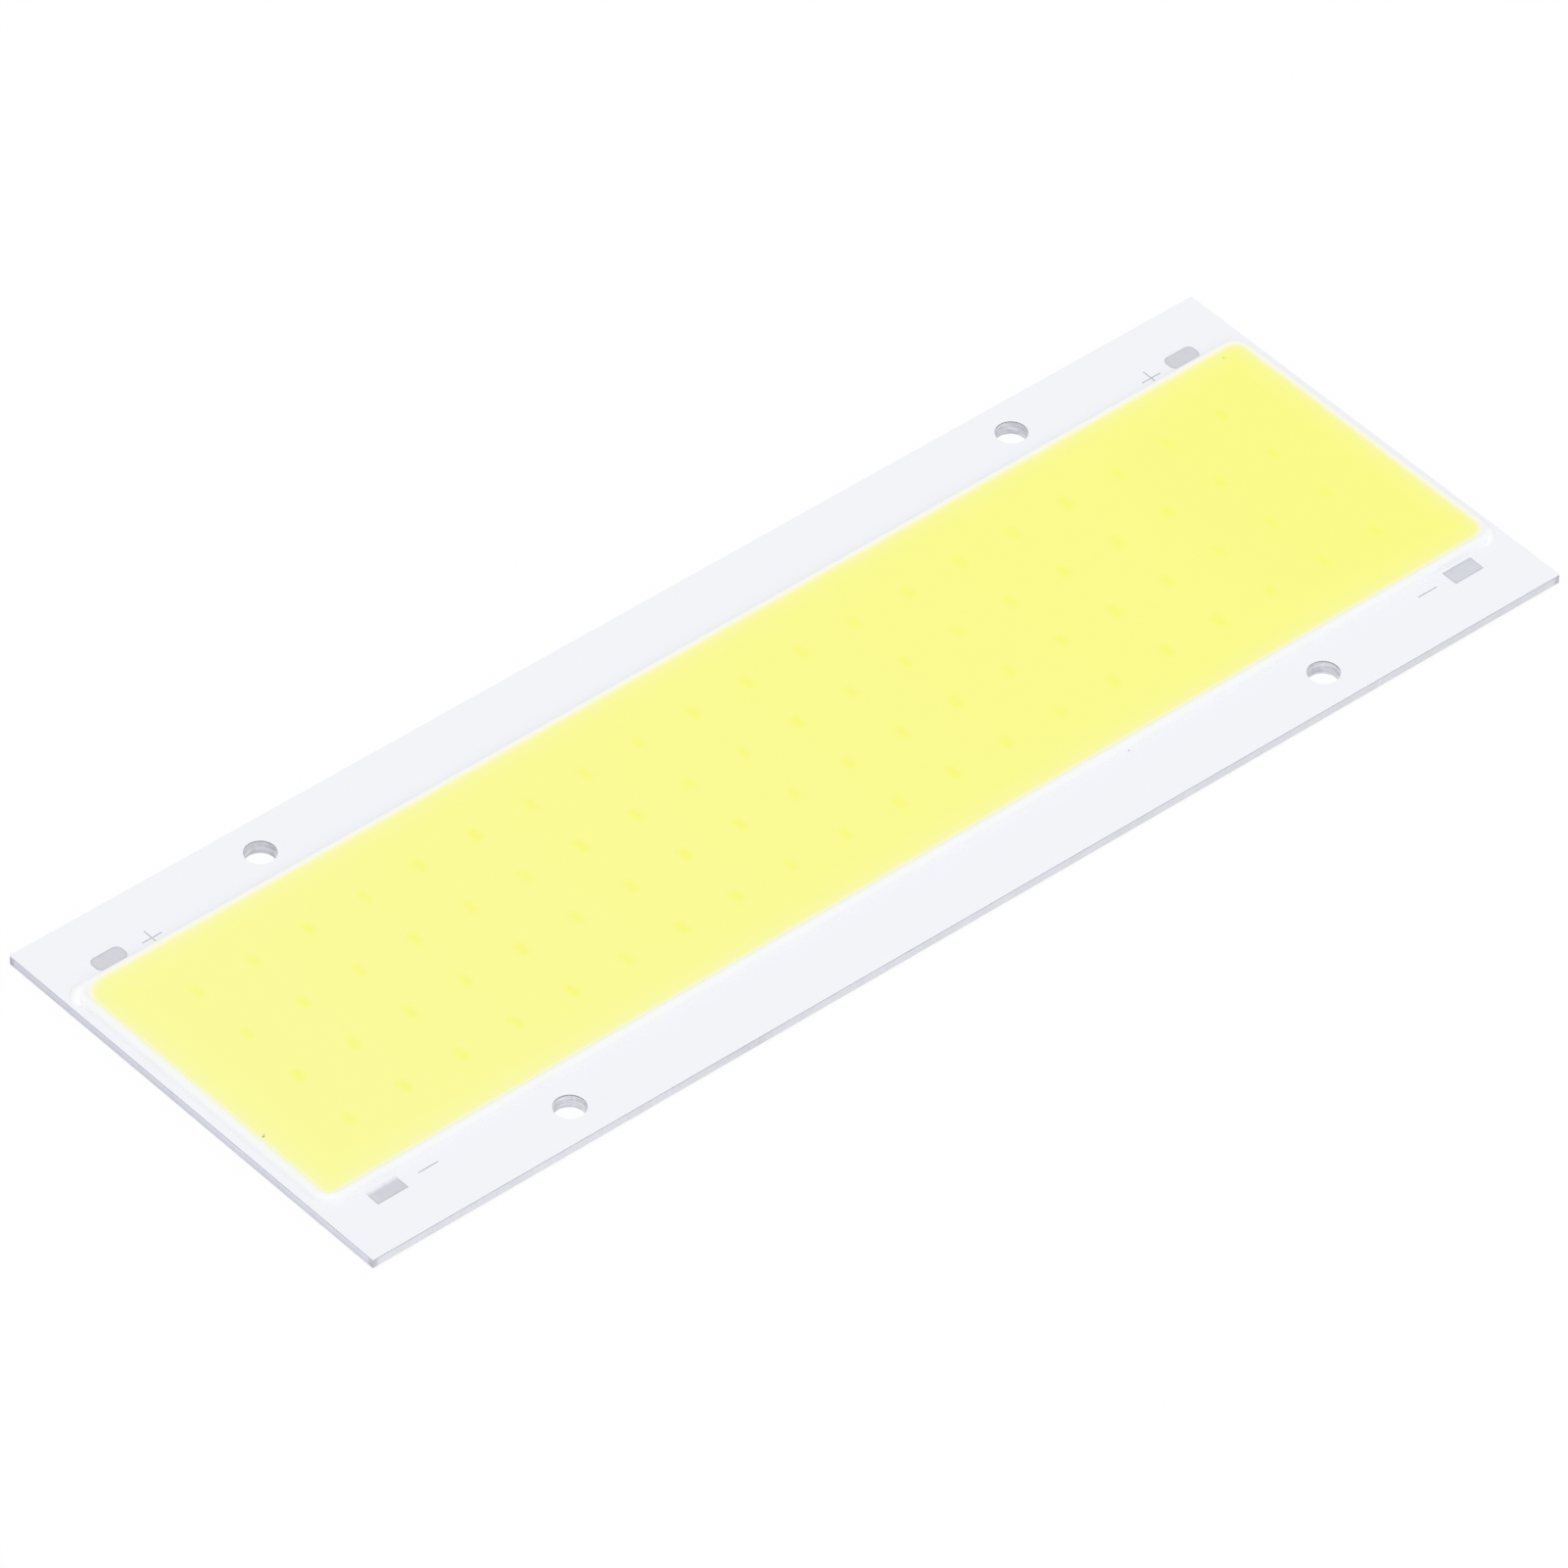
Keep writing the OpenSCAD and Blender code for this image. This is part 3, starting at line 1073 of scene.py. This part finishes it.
@dataclass(frozen=True)
class Dirt(Finish):
    """Specks that settled in the silicone before it cured.

    Attributes:
        colour: The speck's own colour.
        crumb: Colour of its paler crumbs.
    """

    colour: Colour = (0.36, 0.33, 0.10)
    crumb: Colour = (0.56, 0.53, 0.18)
    slot = "phosphor_silicone"

    def shade(self, sketch: Sketch) -> Look:
        """Dark and rough, paler in its crumbs.

        Args:
            sketch: The material's sketch.

        Returns:
            The look.
        """
        crumbs = sketch.noise(20000.0)
        colour = crumbs.ramp(0.4, 0.7).blend(self.colour, self.crumb)
        return Look(colour, roughness=0.7, bumps=((crumbs, 6e-6),))


def dress(part: str, finish: Finish) -> None:
    """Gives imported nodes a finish.

    Args:
        part: What the nodes' names have in common.
        finish: The finish, made into one material that they share.
    """
    material = finish.material()
    names = sorted(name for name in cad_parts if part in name)
    for name in names:
        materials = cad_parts[name].data.materials
        materials.clear()
        materials.append(material)
    LOG.info("%s on %d packed nodes", finish.slot, len(names))


# ---- New meshes ---------------------------------------------------------------------------


def new_object(name: str, data: bpy.types.ID) -> bpy.types.Object:
    """Puts data into the scene.

    Args:
        name: The new object's name.
        data: A mesh, or a lamp's or a camera's data.

    Returns:
        The new object, at the origin.
    """
    thing = bpy.data.objects.new(name, data)
    bpy.context.scene.collection.objects.link(thing)
    return thing


def mesh_of_rings(name: str, flat: np.ndarray, heights: np.ndarray) -> bpy.types.Object:
    """Makes a closed surface from level rings of points that are joined in order.

    Point j of ring i is joined to point j of ring i + 1, and each ring is closed. A ring that
    has shrunk to a line or a point closes the surface there, once doubles are merged.

    Args:
        name: The object's name.
        flat: The points seen from above, as an array of rings by points by 2.
        heights: The height of each ring.

    Returns:
        The new object, at the origin.
    """
    count, around, _ = flat.shape
    climb = np.broadcast_to(heights[:, None, None], (count, around, 1))
    points = np.concatenate([flat, climb], axis=2)
    ring, step = np.meshgrid(np.arange(count - 1), np.arange(around), indexing="ij")
    ahead = (step + 1) % around
    this, following = ring * around, (ring + 1) * around
    corners = [this + step, this + ahead, following + ahead, following + step]
    faces = np.stack(corners, axis=-1).reshape(-1, 4)
    mesh = bpy.data.meshes.new(name)
    mesh.from_pydata(points.reshape(-1, 3).tolist(), [], faces.tolist())
    solid = bmesh.new()
    solid.from_mesh(mesh)
    bmesh.ops.remove_doubles(solid, verts=solid.verts, dist=1e-8)
    bmesh.ops.dissolve_degenerate(solid, edges=solid.edges, dist=1e-8)
    bmesh.ops.recalc_face_normals(solid, faces=solid.faces)
    solid.to_mesh(mesh)
    solid.free()
    mesh.shade_smooth()
    return new_object(name, mesh)


def place_piece(piece: bpy.types.Object, material: bpy.types.Material) -> None:
    """Gives a new piece its material and its body.

    Args:
        piece: The new piece.
        material: Its material.
    """
    piece.data.materials.append(material)
    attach(piece, "root")
    LOG.info("%s: %d faces", piece.name, len(piece.data.polygons))


class Polarity(Enum):
    """The sign beside a pad: how many arms its stroke has, in quarter turns."""

    PLUS = (0, 1, 2, 3)
    MINUS = (0, 2)


@dataclass(frozen=True)
class Sign:
    """A plus or a minus, printed as a raised line with round ends.

    Attributes:
        name: Name of the piece.
        polarity: Which sign it is.
        x: Its centre's place along the board.
        y: Its centre's place across the board.
        stroke: Length of each stroke.
        line: Width of each stroke.
        ink: Height of the ink.
        cap_points: Points round each end.
        rings: Each ring's share of the way out from the spine, and of the ink's height.
    """

    name: str
    polarity: Polarity
    x: float
    y: float
    stroke: float = 2.28 * MM
    line: float = 0.13 * MM
    ink: float = 0.012 * MM
    cap_points: int = 9
    rings: tuple = ((0.0, 0.0), (1.0, 0.0), (1.0, 0.5), (0.88, 0.85), (0.6, 1.0), (0.0, 1.0))

    def outline(self) -> tuple[np.ndarray, np.ndarray]:
        """Works out the sign's outline and its spine.

        One arm runs along +X: its edge goes from the inner corner along one side, round the
        half circle of its end and back along the other side. The spine point of each is the
        nearest one on the arm's middle line. The other arms are this one turned by quarters.

        Returns:
            The outline and the spine, as arrays of points by 2.
        """
        half = self.line / 2
        reach = self.stroke / 2 - half
        angle = np.linspace(-np.pi / 2, np.pi / 2, self.cap_points)
        cap = np.stack([reach + half * np.cos(angle), half * np.sin(angle)], axis=1)
        root = half if self.polarity is Polarity.PLUS else 0.0
        edge = np.concatenate([[[root, -half]], cap, [[root, half]]])
        spine = np.zeros_like(edge)
        spine[1:-1, 0] = reach
        edges, spines = [], []
        for quarter in self.polarity.value:
            turn = quarter * np.pi / 2
            matrix = np.array([[np.cos(turn), np.sin(turn)], [-np.sin(turn), np.cos(turn)]])
            edges.append(edge @ matrix)
            spines.append(spine @ matrix)
        return np.concatenate(edges), np.concatenate(spines)

    def build(self, level: float) -> bpy.types.Object:
        """Lofts the raised line.

        Rings shrink from the outline to the spine while they climb: each is the spine plus a
        share of the way to the outline, at a height that follows a quarter of an ellipse.

        Args:
            level: Height of the surface that it is printed on.

        Returns:
            The new piece.
        """
        edge, spine = self.outline()
        shares, heights = np.array(self.rings).T
        flat = spine + shares[:, None, None] * (edge - spine) + (self.x, self.y)
        return mesh_of_rings(self.name, flat, heights * self.ink + level)


@dataclass(frozen=True)
class Speck:
    """A speck of dirt: a low crumb with an uneven rim, half sunk in the surface.

    Attributes:
        name: Name of the piece.
        x: Place along the board.
        y: Place across the board.
        level: Height of the surface it lies on.
        radius: Mean radius.
        seed: Chooses its outline.
        around: Points round it.
        rows: Rings from its bottom to its top.
    """

    name: str
    x: float
    y: float
    level: float
    radius: float
    seed: int
    around: int = 24
    rows: int = 9

    def build(self) -> bpy.types.Object:
        """Works out the crumb.

        It is a flattened sphere. Its radius is stretched by three waves round the rim, whose
        sizes and phases are random, and its height is a third of its radius.

        Returns:
            The new piece.
        """
        chance = np.random.default_rng(self.seed)
        turn = np.linspace(0.0, 2 * np.pi, self.around, endpoint=False)
        tilt = np.linspace(-np.pi / 2, np.pi / 2, self.rows)
        waves = sum(
            chance.uniform(0.05, 0.22) * np.sin(order * turn + chance.uniform(0.0, 2 * np.pi))
            for order in (2, 3, 5)
        )
        across = np.cos(tilt)[:, None] * (self.radius * (1.0 + waves))
        flat = np.stack([self.x + across * np.cos(turn), self.y + across * np.sin(turn)], axis=2)
        return mesh_of_rings(self.name, flat, self.level + np.sin(tilt) * self.radius / 3)


@dataclass(frozen=True)
class BeadLap:
    """A low swelling at a corner of the dam, where the dispensed bead laps over itself.

    Attributes:
        name: Name of the piece.
        side_x: -1 or 1, the corner's side along the board.
        side_y: -1 or 1, its side across the board.
        past: How far it reaches past the dam's foot, on the corner's diagonal.
        depth: Half its size along the diagonal.
        breadth: Half its size across the diagonal.
        corner: The dam's outer corner radius.
        sunk: How far its flat base lies in the mask.
        around: Points round it.
        rows: Rings from its top to its rim.
    """

    name: str
    side_x: int
    side_y: int
    past: float
    depth: float = 1.05 * MM
    breadth: float = 1.35 * MM
    corner: float = 2.025 * MM
    sunk: float = 0.005 * MM
    around: int = 64
    rows: int = 20

    def build(self) -> bpy.types.Object:
        """Works out the swelling.

        Seen from above it is an ellipse on the corner's diagonal. With r from 0 in its middle to
        1 at its rim, its height is the dam's times (1 - r squared) to the power 0.8. A flat base
        closes it.

        Returns:
            The new piece.
        """
        low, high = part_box("silicone_dam")
        outward = np.array([self.side_x, self.side_y]) / math.sqrt(2)
        beside = np.array([-outward[1], outward[0]])
        box_corner = np.array([high.x * self.side_x, high.y * self.side_y])
        arc_middle = box_corner - self.corner * np.array([self.side_x, self.side_y])
        middle = arc_middle + outward * (self.corner + self.past - self.depth)
        turn = np.linspace(0.0, 2 * np.pi, self.around, endpoint=False)
        share = np.concatenate([[0.0], np.sin(np.linspace(np.pi / 2, 0.0, self.rows))])
        height = (1.0 - share**2) ** 0.8
        height[0] = 0.0
        ellipse = np.outer(self.depth * np.cos(turn), outward)
        ellipse += np.outer(self.breadth * np.sin(turn), beside)
        base = low.z - self.sunk
        flat = middle + share[:, None, None] * ellipse
        return mesh_of_rings(self.name, flat, base + height * (high.z - base))


# ---- Sub-assemblies -----------------------------------------------------------------------


@dataclass
class Board:
    """The layers of the board, the copper on it and the tin on its pads.

    Attributes:
        effects: The shared effects.
        pad: Outline of the positive pad at +X.
        tab_margin: How far the copper under a pad reaches past it.
    """

    effects: Effects
    pad: Rectangle = field(default_factory=lambda: Rectangle.of_node("positive_pad_right"))
    tab_margin: float = 0.35 * MM

    def dress(self) -> None:
        """Finishes the base, the dielectric, the copper, the mask, the pads and the solder."""
        tabs = self.pad.grown(self.tab_margin, self.tab_margin)
        board = Rectangle.of_node("base_plate")
        dress("base_plate", SheetAluminium(self.effects, board))
        dress("dielectric_layer", FilledResin(self.effects, board))
        dress("solder_mask", MaskInk(self.effects, tabs, board))
        dress("copper_", CopperFoil(self.effects))
        dress("_pad_", LevelledTin(self.effects, self.pad))
        dress("die_solder_", ReflowedSolder(self.effects))


@dataclass
class LitField:
    """The dies, the dam and the fill.

    Attributes:
        effects: The shared effects.
        shore_inset: How far inside the fill's ends and long sides the yellow has half faded.
        shore_shift: How far that line's middle lies from the fill's, along X and Y.
        start_lap: How far the bead's swelling reaches past its foot where it starts and ends.
        turn_lap: The same at the opposite corner, where the dispenser slowed to turn.
    """

    effects: Effects
    shore_inset: tuple[float, float] = (0.02 * MM, 0.09 * MM)
    shore_shift: tuple[float, float] = (-0.02 * MM, -0.03 * MM)
    start_lap: float = 0.62 * MM
    turn_lap: float = 0.36 * MM

    def dress(self) -> None:
        """Finishes the dies, the dam and the fill, and adds the dam's swellings."""
        fill = Rectangle.of_node("phosphor_fill")
        shift_x, shift_y = self.shore_shift
        shore = replace(
            fill.grown(-self.shore_inset[0], -self.shore_inset[1]),
            centre_x=fill.centre_x + shift_x,
            centre_y=fill.centre_y + shift_y,
        )
        dress("led_string_", SapphireDie(self.effects))
        dress("silicone_dam", DamSilicone(self.effects, shore))
        dress("phosphor_fill", PhosphorSilicone(self.effects, shore))
        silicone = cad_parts["silicone_dam"].data.materials[0]
        for lap in (
            BeadLap("dam_bead_lap_start", -1, 1, self.start_lap),
            BeadLap("dam_bead_lap_turn", 1, -1, self.turn_lap),
        ):
            place_piece(lap.build(), silicone)


@dataclass
class Print:
    """The signs printed beside the pads."""

    effects: Effects
    plus_y: float = 18.77 * MM
    minus_y: float = -19.19 * MM

    def build(self) -> None:
        """Prints a plus beside each positive pad and a minus beside each negative one."""
        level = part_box("solder_mask")[1].z
        material = SignInk(self.effects).material("finish_sign_ink")
        for sign in (
            Sign("plus_sign_left", Polarity.PLUS, -58.93 * MM, self.plus_y),
            Sign("plus_sign_right", Polarity.PLUS, 59.45 * MM, self.plus_y),
            Sign("minus_sign_left", Polarity.MINUS, -58.90 * MM, self.minus_y),
            Sign("minus_sign_right", Polarity.MINUS, 59.10 * MM, self.minus_y),
        ):
            place_piece(sign.build(level), material)


@dataclass
class Specks:
    """The few specks of dirt that the silicone holds."""

    effects: Effects

    def build(self) -> None:
        """Lays the specks on the fill and at the dam's foot."""
        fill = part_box("phosphor_fill")[1].z
        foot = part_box("silicone_dam")[0].z + 0.03 * MM
        dark = Dirt(self.effects)
        sunken = Dirt(self.effects, (0.66, 0.68, 0.06), (0.76, 0.77, 0.10))
        grey = Dirt(self.effects, (0.42, 0.42, 0.44), (0.58, 0.58, 0.60))
        dark_specks = (
            Speck("speck_fill_end", -68.05 * MM, -7.75 * MM, fill, 0.11 * MM, 3),
            Speck("speck_fill_end_small", -67.85 * MM, -7.60 * MM, fill, 0.07 * MM, 4),
            Speck("speck_dam", 24.0 * MM, -17.86 * MM, foot, 0.08 * MM, 11),
        )
        sunken_specks = (Speck("speck_fill_corner", 65.83 * MM, 15.95 * MM, fill, 0.10 * MM, 5),)
        grey_specks = (Speck("speck_dam_end", -69.18 * MM, 15.27 * MM, foot, 0.08 * MM, 8),)
        kinds = ((dark, dark_specks), (sunken, sunken_specks), (grey, grey_specks))
        for number, (dirt, specks) in enumerate(kinds, start=1):
            material = dirt.material(f"finish_dirt_{number}")
            for speck in specks:
                place_piece(speck.build(), material)


# ---- Studio -------------------------------------------------------------------------------


@dataclass
class Studio:
    """Plain pale floor, soft light from all round and a soft lamp above.

    Attributes:
        sky: Brightness of the light from all round.
        lamp: Brightness that the lamp adds to a white face that looks up.
        lamp_from: Direction in which the lamp lies.
        lamp_angle: Apparent size of the lamp.
        floor_reach: Half the floor's size.
        floor_drop: How far the floor lies below the board.
        floor_colour: The floor's own colour, in its light.
        floor_glow: Share of plain white that the camera sees in the floor.
    """

    sky: float = 0.84
    lamp: float = 0.16
    lamp_from: tuple[float, float, float] = (-0.34, -0.52, 0.78)
    lamp_angle: float = math.radians(70.0)
    floor_reach: float = 6.0
    floor_drop: float = 0.01 * MM
    floor_colour: Colour = (0.97, 0.97, 0.97)
    floor_glow: float = 0.95

    @staticmethod
    def _show(
        sketch: Sketch, kind: str, lights: bpy.types.Node, shows: bpy.types.Node, share: float
    ) -> None:
        """Sets what lights the object, and what the camera, gloss and glass see in its place.

        Args:
            sketch: The sketch of the world or of the floor's material.
            kind: The output node's type.
            lights: The shader that lights.
            shows: The shader that is seen.
            share: How much of what is seen is the second shader.
        """
        path = sketch.add("ShaderNodeLightPath").outputs
        seen = sketch.math("MAXIMUM", path["Is Camera Ray"], path["Is Glossy Ray"])
        seen = sketch.math("MAXIMUM", seen, path["Is Transmission Ray"])
        feeds = {0: seen * share, 1: lights.outputs[0], 2: shows.outputs[0]}
        choice = sketch.add("ShaderNodeMixShader", feeds)
        sketch.add(kind, {"Surface": choice.outputs[0]})

    def build_sky(self) -> None:
        """Makes the world: white where it is seen, at the sky's brightness where it lights."""
        world = bpy.data.worlds.new("sky")
        bpy.context.scene.world = world
        sketch = Sketch.of_owner(world)
        lights = sketch.add("ShaderNodeBackground", {"Color": WHITE, "Strength": self.sky})
        shows = sketch.add("ShaderNodeBackground", {"Color": WHITE, "Strength": 1.0})
        self._show(sketch, "ShaderNodeOutputWorld", lights, shows, 1.0)

    def build_lamp(self) -> None:
        """Makes the lamp: a wide sun, as bright on a face that looks up as lamp says."""
        direction = Vector(self.lamp_from).normalized()
        data = bpy.data.lights.new("soft_lamp", "SUN")
        data.energy = self.lamp * math.pi / direction.z
        data.angle = self.lamp_angle
        new_object("soft_lamp", data).rotation_euler = direction.to_track_quat("Z", "Y").to_euler()

    def build_floor(self) -> None:
        """Makes the floor: white, with the object's shadow softened for the camera."""
        around = ((-1, -1), (1, -1), (1, 1), (-1, 1))
        corners = [(x * self.floor_reach, y * self.floor_reach, -self.floor_drop) for x, y in around]
        mesh = bpy.data.meshes.new("floor")
        mesh.from_pydata(corners, [], [(0, 1, 2, 3)])
        floor = new_object("floor", mesh)
        material = bpy.data.materials.new("floor_paper")
        sketch = Sketch.of_owner(material)
        paper = sketch.add("ShaderNodeBsdfDiffuse", {"Color": self.floor_colour})
        glow = sketch.add("ShaderNodeEmission", {"Color": WHITE})
        self._show(sketch, "ShaderNodeOutputMaterial", paper, glow, self.floor_glow)
        mesh.materials.append(material)

    def build(self) -> None:
        """Makes the sky, the lamp and the floor."""
        self.build_sky()
        self.build_lamp()
        self.build_floor()
        LOG.info("studio ready")


@dataclass
class Viewpoint:
    """A long lens that looks down on the lit face from its left front.

    Attributes:
        azimuth: Turn about Z from looking along +Y.
        elevation: Height above the board's plane.
        roll: Turn about the line of sight.
        distance: From the middle of the lit face.
        lens: Focal length, in millimetres.
        sensor: Width of the sensor, in millimetres.
        clip: Nearest and furthest distance seen.
        aside: How far the line of sight passes beside that middle, to its right and above it.
        level: Height of the lit face.
    """

    azimuth: float = math.radians(-41.946)
    elevation: float = math.radians(42.418)
    roll: float = math.radians(1.619)
    distance: float = 1.4446
    lens: float = 370.92
    sensor: float = 36.0
    clip: tuple[float, float] = (0.05, 50.0)
    aside: tuple[float, float] = (-1.053 * MM, -1.979 * MM)
    level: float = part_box("solder_mask")[1].z

    def build(self) -> None:
        """Makes the camera and chooses it for the scene."""
        sine, cosine = math.sin(self.azimuth), math.cos(self.azimuth)
        low = math.cos(self.elevation)
        back = Vector((sine * low, -cosine * low, math.sin(self.elevation)))
        level_right = Vector((cosine, sine, 0.0))
        level_up = back.cross(level_right)
        right = level_right * math.cos(self.roll) + level_up * math.sin(self.roll)
        up = level_up * math.cos(self.roll) - level_right * math.sin(self.roll)
        middle = Vector((0.0, 0.0, self.level))
        place = middle + right * self.aside[0] + up * self.aside[1] + back * self.distance
        data = bpy.data.cameras.new("camera")
        data.lens = self.lens
        data.sensor_width = self.sensor
        data.clip_start, data.clip_end = self.clip
        camera = new_object("camera", data)
        turn = Matrix((right, up, back)).transposed().to_4x4()
        camera.matrix_world = Matrix.Translation(place) @ turn
        bpy.context.scene.camera = camera
        LOG.info("camera at %s", tuple(round(c, 4) for c in place))


def main() -> None:
    """Builds the view, the studio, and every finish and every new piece."""
    logging.basicConfig(level=logging.INFO, format="%(name)s: %(message)s")
    bpy.context.scene.view_settings.view_transform = "Standard"
    Viewpoint().build()
    Studio().build()
    effects = Effects()
    Board(effects).dress()
    LitField(effects).dress()
    Print(effects).build()
    Specks(effects).build()


if __name__ == "__main__":
    main()
